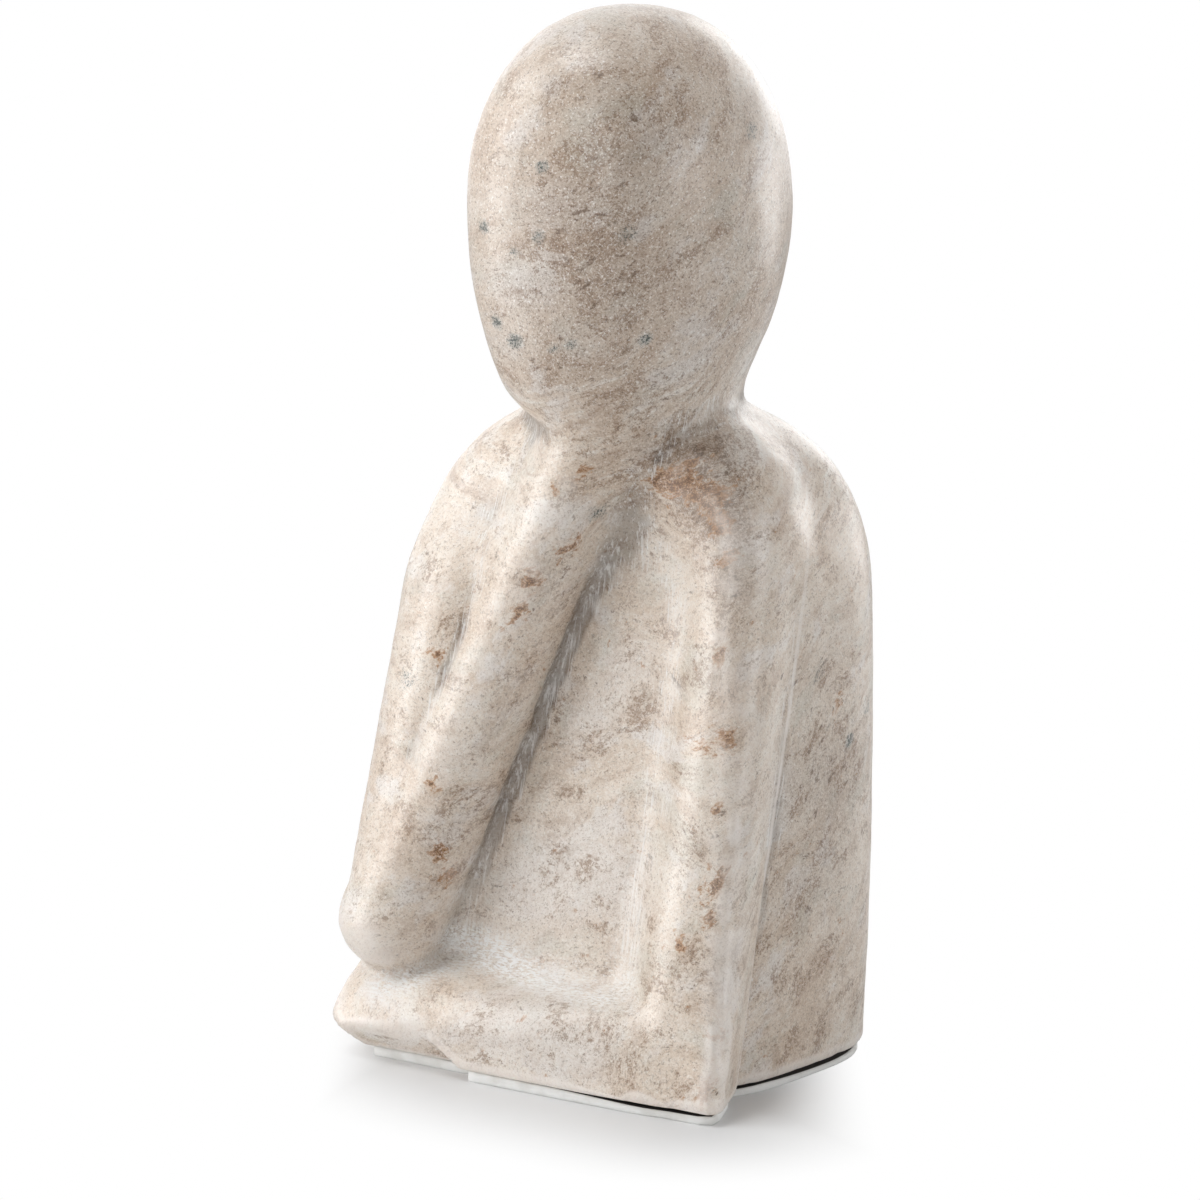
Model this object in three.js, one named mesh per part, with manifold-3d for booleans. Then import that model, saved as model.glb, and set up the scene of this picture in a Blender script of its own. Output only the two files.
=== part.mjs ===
// A seated thinking figure carved from one block of marble, on a foam pad.
// Millimetres, +Z up. The figure faces -Y, and +X is on the side of its lowered arm.
// The origin is the centre of the underside, on the surface that the pad rests on.
//
// The stone is a carving, so it is described as a carver works: masses that are blended into each other,
// then hollows that are cut out of them. Each mass is a signed distance, negative inside. A skin is then
// drawn over the finished field, with its vertices pulled on to the creases.
import * as THREE from "three";
import Module from "manifold-3d";
import { mergeVertices } from "three/addons/utils/BufferGeometryUtils.js";

const { lerp, clamp, smoothstep } = THREE.MathUtils;

// Pad and adhesive under the stone
const PAD_THICKNESS = 2.0;
const PAD_INSET = 1.2; // from the stone's lower edge
const ADHESIVE_THICKNESS = 0.6;
const ADHESIVE_INSET = 5.0;
const BASE = PAD_THICKNESS + ADHESIVE_THICKNESS; // height of the stone's underside

// Trunk: a column with a rounded plan, swelling a little at mid-height, under domed shoulders
const SHOULDER_HEIGHT = 115; // where the dome starts
const DOME_RISE = 44.3;
const DOME_SQUARENESS = 2.35; // exponent of its profile
const DOME_LEAN = 3; // how far the dome's top comes forward
const TRUNK_HALF_WIDTH = 50;
const TRUNK_BACK = 46.5; // y of the back at the base
const BACK_LEAN = 1.0; // how far the back comes forward up to the shoulders
const TRUNK_SWELL = 1.2;
const TRUNK_FRONT_AT_BASE = -37;
const TRUNK_FRONT_AT_SHOULDER = -19;
const TRUNK_SQUARENESS = 3.4; // exponent of the plan's superellipse

// Lowered arm: a leaning slab in front of the trunk, stepped back to the trunk's side along its rear edge
const LEAN_HEIGHT = 127; // the level of the values named AT_SHOULDER
const ARM_FRONT_AT_BASE = -46.5;
const ARM_FRONT_AT_SHOULDER = -20;
const ARM_FRONT_HOLLOW = 2.3; // how far its front is dished at mid-height
const ARM_OUTSIDE_AT_BASE = 60;
const ARM_OUTSIDE_AT_SHOULDER = 50.5;
const STEP_AT_BASE = -25.5; // y of the arm's rear edge
const STEP_AT_SHOULDER = 3.5;
const STEP_FADE = [118, 140]; // heights over which that edge runs out into the shoulder
const STEP_OUTSIDE = 49.8; // x of the arm's rear edge
const ARM_CORNER_ROUNDING = 12;
const ARM_FOOT_ROUNDING = 5;
const SLAB_LEFT = 50.5;
const FOOT_HEIGHT = 40; // below which its corners are sharper
const CAP_SQUARENESS = 6; // its shoulder is squarer than the trunk's
const CAP_FADE = [120, 145]; // heights between which it takes on the trunk's shape
const CAP_HALF_WIDTH = 52.3;
const CAP_RISE = 42;
const CAP_PROFILE = 2.55; // exponent of its profile
const CAP_DEPTH_MARGIN = 4.5;
const CAP_REACH = 90; // how slowly the cap opens downwards from the shoulder height
const CAP_ROUNDING = 4;
const REAR_ROUNDING = 12; // of its rear edge at the shoulder

// Folded forearm: a bar along the base, whose hand end passes under the raised elbow
const BAR_FRONT = -47;
const BAR_REACH = 57.2;
const BAR_HEIGHT = 17.2; // of its front upper edge
const SHELF_SLOPE = 0.36; // rise of its top per millimetre towards the chest
const TAPER_START = 26; // x where the hand end starts to thin
const HAND_FACET = new THREE.Vector3(-0.16, -0.81, 0.564); // normal of the cut that thins it
const BAR_EDGE_ROUNDING = 5;
const HAND_ROUNDING = 6;
const BAR_OVERLAP = 8; // how far it runs into the lowered arm
const BAR_FLUSH = [0, 44]; // x over which its face turns into the lowered arm's front
const BAR_FLUSH_ROUNDING = 13; // of its upper edge at the lowered arm
const BAR_REAR = -20;
const UNDERCUT_HEIGHT = 6; // at the front
const UNDERCUT_END = 14.6; // where it stops, to the left of the middle
const UNDERCUT_SLOPE = 1.55; // run of its closing face per millimetre of height
const FOOT_CORNER = new THREE.Vector3(-47, -43, BASE); // of the underside, at the front left
const UNDER_FACET = new THREE.Vector3(-0.517, -0.159, -0.841); // normal of the slant under the tip

// Chest hollow, between the raised forearm, the lowered arm and the folded forearm
const HOLLOW_RIGHT_AT_SHELF = 35.3; // the lowered arm's inner edge
const HOLLOW_RIGHT_AT_TOP = 40.5;
const SIDE_SLOPE_AT_SHELF = 1.5; // run of that edge's slope per millimetre of depth
const SIDE_SLOPE_AT_TOP = 2.4;
const HOLLOW_TOP = 141.5;
const HOLLOW_TOP_SLOPE = 1.8; // run of its upper edge's slope
const HOLLOW_TOP_ROUNDING = 13;
const CHEST_AT_SHELF = -31;
const CHEST_AT_TOP = -12.5;
const CHEST_FOOT = 20; // height of the value at the shelf
const HOLLOW_FILLET = 3; // round its mouth
const HOLLOW_CORNER = 2; // between its walls

// Groove that runs on from the hollow's top, up beside the neck
const PIT = {
  start: new THREE.Vector3(14, -24, 130),
  end: new THREE.Vector3(22, -20, 147),
  startRadius: 4,
  endRadius: 1,
};

// Raised arm: upper arm from the shoulder to the elbow, forearm from the elbow to the chin
const UPPER_ARM = {
  start: new THREE.Vector3(-45.5, -27.5, 34),
  end: new THREE.Vector3(-32.2, -8, 106),
  startRadius: 15.3,
  endRadius: 24,
};
const ELBOW = new THREE.Vector3(-43.5, -33, 32);
const WRIST = new THREE.Vector3(3.5, -16, 150);
const FOREARM = {
  start: ELBOW,
  end: WRIST,
  startRadius: 12.8,
  endRadius: 10,
  flare: 1.25, // the outer flank is flatter than the inner one
  bluntness: 2.5, // exponent of the elbow's rounded end
};

// Notch between the elbow and the hand end below it
const NOTCH_REACH = 4; // past the elbow, towards the chest
const NOTCH_REAR = -30;
const NOTCH_ROUNDING = 2;

// Head: an egg with a flattened blank face, on a short neck
const HEAD_BACK = 0.7; // how far its middle lies behind the origin
const HEAD_HALF_WIDTH = 35.6;
const HEAD_HALF_DEPTH = 42.6;
const HEAD_HEIGHT = 203; // of its widest level
const CROWN_RISE = 47.5;
const CROWN_SQUARENESS = 2.2;
const JAW_DROP = 61;
const JAW_SQUARENESS = 1.94;
const JAW_FORWARD = 7; // how far the egg's lower end comes forward
const JAW_LEVEL = 149;
const JAW_ROUNDING = 15;
const FACE_FRONT = -36;
const FACE_ROUNDING = 9;
const NECK_RADIUS = 20;
const NECK_MIDDLE = new THREE.Vector2(5, -2);
const NECK_FOOT = 130;
const CHIN_FILLET = 3; // where the chin rests on the hand
const NAPE_FILLET = 9; // where the neck runs into the jaw
const JAW_FADE = [-12, 10]; // x between which the one turns into the other
const CHIN_TO_NAPE = 12; // and the same for y, less this

// Fillets where the masses meet: crisp low down, soft round the shoulders and the neck
const CRISP = 1e-3;
const STEP_FILLET = 6.5;
const ARM_FILLET = 9;
const ARM_FADE = [85, 128]; // heights between which the upper arm's crease softens
const FOREARM_FILLET = 9;
const FOREARM_FADE = [104, 130];
const NECK_FILLET = 6;
const BAR_FILLET = 4.5;
const PIT_FILLET = 5;

// Fineness of the stone's skin
const CREASE_COSINE = 0.86; // normals that differ by more than this make a crease
const CREASE_TOLERANCE = 0.02; // of a cell
const CELL_MARGIN = 0.3; // how far a vertex may leave its cell, in cells
const EVENING_PASSES = 16;
const EVENING_REACH = 0.25; // largest move of a vertex in a pass, in cells
const SKIN_CELL = 4.2;
const OUTLINE_POINTS = 144; // around the pad

// Joins and cuts of distances, with a fillet or a rounding of about the given radius
function blend(a, b, radius) {
  const h = Math.max(radius - Math.abs(a - b), 0) / radius;
  return Math.min(a, b) - (h * h * radius) / 4;
}

function common(a, b, radius) {
  return -blend(-a, -b, radius);
}

function carve(a, b, radius) {
  return -blend(-a, b, radius);
}

// A value that leans from the base to the shoulders
function leaning(atBase, atShoulder, z) {
  return atBase + ((atShoulder - atBase) * z) / LEAN_HEIGHT;
}

// 0 at the base and the shoulders, 1 half way up
function bow(z) {
  const t = clamp(z / LEAN_HEIGHT, 0, 1);
  return 4 * t * (1 - t);
}

// A column with a superellipse for its plan, closed by a dome
function domed(x, y, z, halfWidth, halfDepth, squareness, rise, n) {
  const u = Math.abs(x) / halfWidth;
  const v = Math.abs(y) / halfDepth;
  const w = Math.max(z - SHOULDER_HEIGHT, 0) / rise;
  const plan = Math.pow(Math.pow(u, squareness) + Math.pow(v, squareness), 1 / squareness);
  const level = Math.pow(Math.pow(plan, n) + Math.pow(w, n), 1 / n);
  if (plan < 1e-3) return (level - 1) * rise;
  const outward = Math.pow(plan / level, n - 1);
  const alongX = (outward * Math.pow(u / plan, squareness - 1)) / halfWidth;
  const alongY = (outward * Math.pow(v / plan, squareness - 1)) / halfDepth;
  const alongZ = Math.pow(w / level, n - 1) / rise;
  return (level - 1) / Math.hypot(alongX, alongY, alongZ);
}

function trunkMiddle(z) {
  const level = Math.min(z, SHOULDER_HEIGHT);
  const front = leaning(TRUNK_FRONT_AT_BASE, TRUNK_FRONT_AT_SHOULDER, level);
  const back = leaning(TRUNK_BACK, TRUNK_BACK - BACK_LEAN, level) + TRUNK_SWELL * bow(z);
  const lean = (DOME_LEAN * Math.max(z - SHOULDER_HEIGHT, 0)) / DOME_RISE;
  return { middle: (back + front) / 2 - lean, halfDepth: (back - front) / 2 };
}

function trunk(x, y, z) {
  const { middle, halfDepth } = trunkMiddle(z);
  const halfWidth = TRUNK_HALF_WIDTH + TRUNK_SWELL * bow(z);
  return domed(x, y - middle, z, halfWidth, halfDepth, TRUNK_SQUARENESS, DOME_RISE, DOME_SQUARENESS);
}

function armFront(z) {
  return leaning(ARM_FRONT_AT_BASE, ARM_FRONT_AT_SHOULDER, z) + ARM_FRONT_HOLLOW * bow(z);
}

function slab(x, y, z) {
  const front = armFront(z);
  const step = leaning(STEP_AT_BASE, STEP_AT_SHOULDER, z);
  const outside = leaning(ARM_OUTSIDE_AT_BASE, ARM_OUTSIDE_AT_SHOULDER, z);
  const slope = (outside - STEP_OUTSIDE) / (step - front);
  const right = (x - (outside - (y - front) * slope)) / Math.hypot(1, slope);
  const left = -x - SLAB_LEFT;
  const lean = (ARM_FRONT_AT_SHOULDER - ARM_FRONT_AT_BASE) / LEAN_HEIGHT;
  const face = (front - y) / Math.hypot(1, lean);
  const rear = (y - step) / Math.hypot(1, (STEP_AT_SHOULDER - STEP_AT_BASE) / LEAN_HEIGHT);
  const rounding = lerp(ARM_FOOT_ROUNDING, ARM_CORNER_ROUNDING, smoothstep(z, 0, FOOT_HEIGHT));
  const sides = common(face, Math.max(right, left), rounding);
  const { middle, halfDepth } = trunkMiddle(z);
  const below = Math.max(SHOULDER_HEIGHT - z, 0);
  const squareness = lerp(CAP_SQUARENESS, TRUNK_SQUARENESS, smoothstep(z, ...CAP_FADE));
  const capDepth = halfDepth + CAP_DEPTH_MARGIN;
  const dome = domed(x, y - middle, z, CAP_HALF_WIDTH, capDepth, squareness, CAP_RISE, CAP_PROFILE);
  const cap = dome - (below * below) / CAP_REACH;
  const rearRounding = lerp(CRISP, REAR_ROUNDING, smoothstep(z, ...STEP_FADE));
  return common(common(sides, cap, CAP_ROUNDING), rear, rearRounding);
}

function shelfHeight(y) {
  return BAR_HEIGHT + (y - BAR_FRONT) * SHELF_SLOPE;
}

function bar(x, y, z) {
  const flush = smoothstep(x, ...BAR_FLUSH);
  const face = lerp(BAR_FRONT, armFront(z), flush) - y;
  const end = -x - BAR_REACH;
  const top = (z - shelfHeight(y)) / Math.hypot(1, SHELF_SLOPE);
  const hand = new THREE.Vector3(x + TAPER_START, y - BAR_FRONT, z - BAR_HEIGHT).dot(HAND_FACET);
  const rounded = common(face, top, lerp(BAR_EDGE_ROUNDING, BAR_FLUSH_ROUNDING, flush));
  const edge = common(rounded, hand, HAND_ROUNDING);
  const inner = Math.max(x - HOLLOW_RIGHT_AT_SHELF - BAR_OVERLAP, y - BAR_REAR);
  return common(common(edge, end, BAR_EDGE_ROUNDING), inner, BAR_OVERLAP);
}

// The slanting underside of the hand end, down to the foot of the trunk
function undercut(x, y, z) {
  const up = z - BASE;
  const slant = (x + UNDERCUT_END + up * UNDERCUT_SLOPE) / Math.hypot(1, UNDERCUT_SLOPE);
  const rate = UNDERCUT_HEIGHT / (FOOT_CORNER.y - BAR_FRONT);
  const underFront = (up - UNDERCUT_HEIGHT + (y - BAR_FRONT) * rate) / Math.hypot(1, rate);
  const underTip = -new THREE.Vector3(x, y, z).sub(FOOT_CORNER).dot(UNDER_FACET);
  return Math.min(Math.max(slant, underFront), underTip);
}

// A tapering limb of round section with rounded ends. Its outer flank can be flared, and its start blunt
function limb(x, y, z, { start, end, startRadius, endRadius, flare = 1, bluntness = 2 }) {
  const axis = end.clone().sub(start);
  const length = axis.length();
  axis.divideScalar(length);
  const offset = new THREE.Vector3(x, y, z).sub(start);
  const along = offset.dot(axis);
  offset.addScaledVector(axis, -along);
  const across = (offset.x * axis.z - offset.z * axis.x) / Math.hypot(axis.x, axis.z);
  const stretch = across < 0 ? flare : 1;
  const rest = Math.max(offset.lengthSq() - across * across, 0);
  const radial = Math.sqrt((across / stretch) ** 2 + rest);
  const slope = Math.sqrt((across / stretch ** 2) ** 2 + rest) / Math.max(radial, 1e-6);
  const taper = (startRadius - endRadius) / length;
  const shrink = Math.sqrt(1 - taper * taper);
  const level = along * shrink - radial * taper;
  let distance = radial * shrink + along * taper - startRadius;
  if (level < 0) {
    const reach = Math.pow(radial, bluntness) + Math.pow(Math.abs(along), bluntness);
    distance = Math.pow(reach, 1 / bluntness) - startRadius;
  }
  if (level > shrink * length) distance = Math.hypot(radial, along - length) - endRadius;
  return distance / Math.max(slope, 1 / stretch);
}

function forearmAxisX(z) {
  return lerp(ELBOW.x, WRIST.x, (z - ELBOW.z) / (WRIST.z - ELBOW.z));
}

function chestHollow(x, y, z) {
  const run = (WRIST.x - ELBOW.x) / (WRIST.z - ELBOW.z);
  const left = (forearmAxisX(z) - x) / Math.hypot(1, run);
  const share = (z - CHEST_FOOT) / (HOLLOW_TOP - CHEST_FOOT);
  const depth = y - lerp(CHEST_AT_SHELF, CHEST_AT_TOP, share);
  const inFromFront = y - armFront(z);
  const edge = lerp(HOLLOW_RIGHT_AT_SHELF, HOLLOW_RIGHT_AT_TOP, share);
  const slope = lerp(SIDE_SLOPE_AT_SHELF, SIDE_SLOPE_AT_TOP, share);
  const right = (x - edge + slope * inFromFront) / Math.hypot(1, slope);
  const top = (z - HOLLOW_TOP + HOLLOW_TOP_SLOPE * inFromFront) / Math.hypot(1, HOLLOW_TOP_SLOPE);
  const shelf = (shelfHeight(y) - z) / Math.hypot(1, SHELF_SLOPE);
  const sides = common(left, common(right, top, HOLLOW_TOP_ROUNDING), HOLLOW_CORNER);
  return common(sides, common(depth, shelf, HOLLOW_CORNER), HOLLOW_CORNER);
}

// What is cut away between the hand end and the elbow above it
function elbowNotch(x, y, z) {
  const shelf = (shelfHeight(y) - z) / Math.hypot(1, SHELF_SLOPE);
  const behind = Math.max(x - ELBOW.x - NOTCH_REACH, y - NOTCH_REAR);
  return common(Math.max(shelf, z - ELBOW.z), behind, NOTCH_ROUNDING);
}

function headMass(x, y, z) {
  const up = z - HEAD_HEIGHT;
  const rise = up > 0 ? CROWN_RISE : JAW_DROP;
  const n = up > 0 ? CROWN_SQUARENESS : JAW_SQUARENESS;
  const w = Math.abs(up) / rise;
  const forward = up > 0 ? 0 : JAW_FORWARD * w * w;
  const u = x / HEAD_HALF_WIDTH;
  const v = (y - HEAD_BACK + forward) / HEAD_HALF_DEPTH;
  const plan = Math.hypot(u, v);
  const level = Math.pow(Math.pow(plan, n) + Math.pow(w, n), 1 / n);
  if (plan < 1e-3) return (level - 1) * rise;
  const planSlope = Math.hypot(u / HEAD_HALF_WIDTH, v / HEAD_HALF_DEPTH) / plan;
  const slope = Math.hypot(Math.pow(plan / level, n - 1) * planSlope, Math.pow(w / level, n - 1) / rise);
  const egg = (level - 1) / slope;
  const faced = common(egg, FACE_FRONT - y, FACE_ROUNDING);
  return common(faced, JAW_LEVEL - z, JAW_ROUNDING);
}

function neck(x, y, z) {
  const column = Math.hypot(x - NECK_MIDDLE.x, y - NECK_MIDDLE.y) - NECK_RADIUS;
  return Math.max(column, z - HEAD_HEIGHT, NECK_FOOT - z);
}

function stone(x, y, z) {
  const stepFillet = lerp(CRISP, STEP_FILLET, smoothstep(z, ...STEP_FADE));
  const shoulders = blend(trunk(x, y, z), slab(x, y, z), stepFillet);
  const block = blend(shoulders, neck(x, y, z), NECK_FILLET);
  const hollowed = carve(block, chestHollow(x, y, z), HOLLOW_FILLET);
  const notched = carve(hollowed, elbowNotch(x, y, z), CRISP);
  const barred = blend(notched, bar(x, y, z), BAR_FILLET);
  const cut = carve(barred, undercut(x, y, z), CRISP);
  const armFillet = lerp(CRISP, ARM_FILLET, smoothstep(z, ...ARM_FADE));
  const shouldered = blend(cut, limb(x, y, z, UPPER_ARM), armFillet);
  const forearmFillet = lerp(CRISP, FOREARM_FILLET, smoothstep(z, ...FOREARM_FADE));
  const armed = blend(shouldered, limb(x, y, z, FOREARM), forearmFillet);
  const pitted = carve(armed, limb(x, y, z, PIT), PIT_FILLET);
  const fromChin = smoothstep(Math.max(x, y + CHIN_TO_NAPE), ...JAW_FADE);
  return blend(pitted, headMass(x, y, z), lerp(CHIN_FILLET, NAPE_FILLET, fromChin));
}

// How fast the field rises in each direction
function slopeOf(field, { x, y, z }) {
  const e = 0.02;
  const dx = field(x + e, y, z) - field(x - e, y, z);
  const dy = field(x, y + e, z) - field(x, y - e, z);
  const dz = field(x, y, z + e) - field(x, y, z - e);
  return new THREE.Vector3(dx, dy, dz).divideScalar(2 * e);
}

// Moves a point straight on to the surface
function settle(field, p) {
  for (let step = 0; step < 3; step++) {
    const slope = slopeOf(field, p);
    p.addScaledVector(slope, -field(p.x, p.y, p.z) / Math.max(slope.lengthSq(), 0.25));
  }
}

// Where the surface crosses the line from a to b, or the end nearer to it where it doesn't
function crossing(field, a, b) {
  const atA = field(a.x, a.y, a.z);
  const atB = field(b.x, b.y, b.z);
  const inside = atA < 0;
  if (inside === atB < 0) return (Math.abs(atA) < Math.abs(atB) ? a : b).clone();
  const p = a.clone();
  let near = 0;
  let far = 1;
  for (let step = 0; step < 14; step++) {
    const middle = (near + far) / 2;
    p.lerpVectors(a, b, middle);
    if (field(p.x, p.y, p.z) < 0 === inside) near = middle;
    else far = middle;
  }
  return p;
}

// The point that lies closest to all the given tangent planes, found in a few steps from their middle,
// so that it slides on to a crease or a corner but hardly moves where the planes almost agree
function meetingPoint(points, normals, box) {
  const middle = new THREE.Vector3();
  for (const p of points) middle.addScaledVector(p, 1 / points.length);
  const q = middle.clone();
  const pull = 0.06;
  for (let step = 0; step < 4; step++) {
    let [xx, xy, xz, yy, yz, zz] = [pull, 0, 0, pull, 0, pull];
    const sum = new THREE.Vector3();
    points.forEach((p, i) => {
      const n = normals[i];
      xx += n.x * n.x;
      xy += n.x * n.y;
      xz += n.x * n.z;
      yy += n.y * n.y;
      yz += n.y * n.z;
      zz += n.z * n.z;
      sum.addScaledVector(n, n.dot(p) - n.dot(q));
    });
    q.add(sum.applyMatrix3(new THREE.Matrix3().set(xx, xy, xz, xy, yy, yz, xz, yz, zz).invert()));
  }
  return box.clampPoint(q, q);
}

// Fills the grid where the surface would touch itself along an edge: a square of the grid whose
// inside corners lie across from each other gets the shallower of its outside corners as a third
function closePinches(values, [nx, ny, nz], at) {
  const steps = [at(1, 0, 0), at(0, 1, 0), at(0, 0, 1)];
  let closed = 1;
  while (closed > 0) {
    closed = 0;
    for (let i = 0; i < at(nx - 1, ny - 2, nz - 2); i++) {
      for (const [a, b] of [[0, 1], [1, 2], [0, 2]]) {
        const ring = [i, i + steps[a], i + steps[a] + steps[b], i + steps[b]];
        const inside = ring.map((corner) => values[corner] < 0);
        if (inside[0] !== inside[2] || inside[1] !== inside[3] || inside[0] === inside[1]) continue;
        const outside = ring.filter((corner) => values[corner] >= 0);
        values[values[outside[0]] < values[outside[1]] ? outside[0] : outside[1]] = -Number.EPSILON;
        closed += 1;
      }
    }
  }
}

// Skin over a field: one vertex in each cell of a grid that the surface crosses, joined in quads
function skin(field, bounds, cell) {
  const size = bounds.getSize(new THREE.Vector3()).divideScalar(cell);
  const [nx, ny, nz] = [Math.ceil(size.x) + 1, Math.ceil(size.y) + 1, Math.ceil(size.z) + 1];
  const at = (i, j, k) => i + nx * (j + ny * k);
  const place = (i, j, k) => new THREE.Vector3(i, j, k).multiplyScalar(cell).add(bounds.min);
  const values = new Float64Array(nx * ny * nz);
  for (let k = 0; k < nz; k++) {
    for (let j = 0; j < ny; j++) {
      for (let i = 0; i < nx; i++) {
        const p = place(i, j, k);
        values[at(i, j, k)] = field(p.x, p.y, p.z);
      }
    }
  }
  closePinches(values, [nx, ny, nz], at);
  const corners = Array.from({ length: 8 }, (_, c) => [c & 1, (c >> 1) & 1, (c >> 2) & 1]);
  const edges = corners.flatMap((_, a) => [1, 2, 4].filter((bit) => !(a & bit)).map((bit) => [a, a | bit]));
  const vertexOf = new Int32Array(nx * ny * nz).fill(-1);
  const vertices = [];
  const creased = [];
  for (let k = 0; k < nz - 1; k++) {
    for (let j = 0; j < ny - 1; j++) {
      for (let i = 0; i < nx - 1; i++) {
        const inside = corners.map(([a, b, c]) => values[at(i + a, j + b, k + c)] < 0);
        const crossed = edges.filter(([a, b]) => inside[a] !== inside[b]);
        if (crossed.length === 0) continue;
        const ends = corners.map(([a, b, c]) => place(i + a, j + b, k + c));
        const points = crossed.map(([a, b]) => crossing(field, ends[a], ends[b]));
        const normals = points.map((p) => slopeOf(field, p).normalize());
        const box = new THREE.Box3(ends[0], ends[7]).expandByScalar(CELL_MARGIN * cell);
        vertexOf[at(i, j, k)] = vertices.length;
        const p = meetingPoint(points, normals, box);
        const onCrease = Math.abs(field(p.x, p.y, p.z)) < CREASE_TOLERANCE * cell;
        creased.push(onCrease && normals.some((n) => n.dot(normals[0]) < CREASE_COSINE));
        if (!onCrease) settle(field, p);
        vertices.push(p);
      }
    }
  }
  const quads = [];
  const join = (inside, ring) => quads.push(inside ? ring : ring.reverse());
  for (let k = 1; k < nz - 1; k++) {
    for (let j = 1; j < ny - 1; j++) {
      for (let i = 1; i < nx - 1; i++) {
        const inside = values[at(i, j, k)] < 0;
        const v = (a, b, c) => vertexOf[at(i - a, j - b, k - c)];
        const differs = (a, b, c) => inside !== values[at(i + a, j + b, k + c)] < 0;
        if (differs(1, 0, 0)) join(inside, [v(0, 1, 1), v(0, 0, 1), v(0, 0, 0), v(0, 1, 0)]);
        if (differs(0, 1, 0)) join(inside, [v(1, 0, 1), v(1, 0, 0), v(0, 0, 0), v(0, 0, 1)]);
        if (differs(0, 0, 1)) join(inside, [v(1, 1, 0), v(0, 1, 0), v(0, 0, 0), v(1, 0, 0)]);
      }
    }
  }
  evenOut(field, vertices, creased, quads, cell);
  const index = quads.flatMap((ring) => splitQuad(field, vertices, ring));
  return new THREE.BufferGeometry().setFromPoints(vertices).setIndex(index);
}

// Vertices off the creases move towards the middle of their neighbours, then back on to the surface
function evenOut(field, vertices, creased, quads, cell) {
  for (let pass = 0; pass < EVENING_PASSES; pass++) {
    const sums = vertices.map(() => new THREE.Vector3());
    const counts = vertices.map(() => 0);
    for (const ring of quads) {
      ring.forEach((a, i) => {
        const b = ring[(i + 1) % 4];
        sums[a].add(vertices[b]);
        sums[b].add(vertices[a]);
        counts[a] += 1;
        counts[b] += 1;
      });
    }
    vertices.forEach((p, i) => {
      if (creased[i]) return;
      const n = slopeOf(field, p).normalize();
      const move = sums[i].divideScalar(counts[i]).sub(p).multiplyScalar(0.5);
      move.addScaledVector(n, -move.dot(n)).clampLength(0, EVENING_REACH * cell);
      const q = p.clone().add(move);
      if (slopeOf(field, q).normalize().dot(n) < CREASE_COSINE) return;
      p.copy(q);
      settle(field, p);
    });
  }
}

// A quad is split along the diagonal that keeps closer to the surface
function splitQuad(field, vertices, [a, b, c, d]) {
  const gap = (p, q) => {
    const middle = vertices[p].clone().add(vertices[q]).divideScalar(2);
    return Math.abs(field(middle.x, middle.y, middle.z));
  };
  if (gap(a, c) <= gap(b, d)) return [a, b, c, a, c, d];
  return [b, c, d, b, d, a];
}

const wasm = await Module();
wasm.setup();

function solidOf(geometry) {
  return new wasm.Manifold(
    new wasm.Mesh({
      numProp: 3,
      vertProperties: new Float32Array(geometry.attributes.position.array),
      triVerts: new Uint32Array(geometry.index.array),
    }),
  );
}

// A box as a bare closed shell, whose corners are shared by its sides
function boxShell(box) {
  const size = box.getSize(new THREE.Vector3());
  const middle = box.getCenter(new THREE.Vector3());
  const geometry = new THREE.BoxGeometry(size.x, size.y, size.z).translate(middle.x, middle.y, middle.z);
  geometry.deleteAttribute("normal");
  geometry.deleteAttribute("uv");
  return mergeVertices(geometry);
}

// The carving, skinned to below its base and then cut off flat
function carving() {
  const low = new THREE.Vector3(-ARM_OUTSIDE_AT_BASE, BAR_FRONT, 0);
  const high = new THREE.Vector3(ARM_OUTSIDE_AT_BASE, TRUNK_BACK, HEAD_HEIGHT + CROWN_RISE);
  const reach = new THREE.Box3(low, high).expandByScalar(2 * SKIN_CELL);
  const rough = skin((x, y, z) => Math.max(stone(x, y, z), -SKIN_CELL - z), reach, SKIN_CELL);
  const waste = reach.clone().expandByScalar(SKIN_CELL);
  waste.max.z = BASE;
  const cut = solidOf(rough).subtract(solidOf(boxShell(waste))).getMesh();
  const geometry = new THREE.BufferGeometry();
  geometry.setAttribute("position", new THREE.BufferAttribute(cut.vertProperties, 3));
  geometry.setIndex(new THREE.BufferAttribute(cut.triVerts, 1));
  return geometry;
}

// Outline of the stone's underside, drawn in by the given amount
function footprint(inset) {
  const shape = new THREE.Shape();
  for (let i = 0; i < OUTLINE_POINTS; i++) {
    const angle = (2 * Math.PI * i) / OUTLINE_POINTS;
    const direction = new THREE.Vector3(Math.cos(angle), Math.sin(angle), 0);
    const start = new THREE.Vector3(0, 0, BASE);
    const end = start.clone().addScaledVector(direction, 2 * ARM_OUTSIDE_AT_BASE);
    const p = crossing((x, y, z) => stone(x, y, z) + inset, start, end);
    if (i === 0) shape.moveTo(p.x, p.y);
    else shape.lineTo(p.x, p.y);
  }
  return shape;
}

function sheet(inset, thickness, height) {
  const geometry = new THREE.ExtrudeGeometry(footprint(inset), { depth: thickness, bevelEnabled: false });
  return geometry.translate(0, 0, height);
}

const marble = new THREE.MeshStandardMaterial({ color: 0xd9cfc4, roughness: 0.42, metalness: 0 });
const foam = new THREE.MeshStandardMaterial({ color: 0xf2f1ee, roughness: 0.95, metalness: 0 });
const adhesive = new THREE.MeshStandardMaterial({ color: 0xd8d4c6, roughness: 0.6, metalness: 0 });

const pieces = [
  ["stone_figure", carving(), marble],
  ["adhesive_film", sheet(ADHESIVE_INSET, ADHESIVE_THICKNESS, PAD_THICKNESS), adhesive],
  ["base_pad", sheet(PAD_INSET, PAD_THICKNESS, 0), foam],
];

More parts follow.
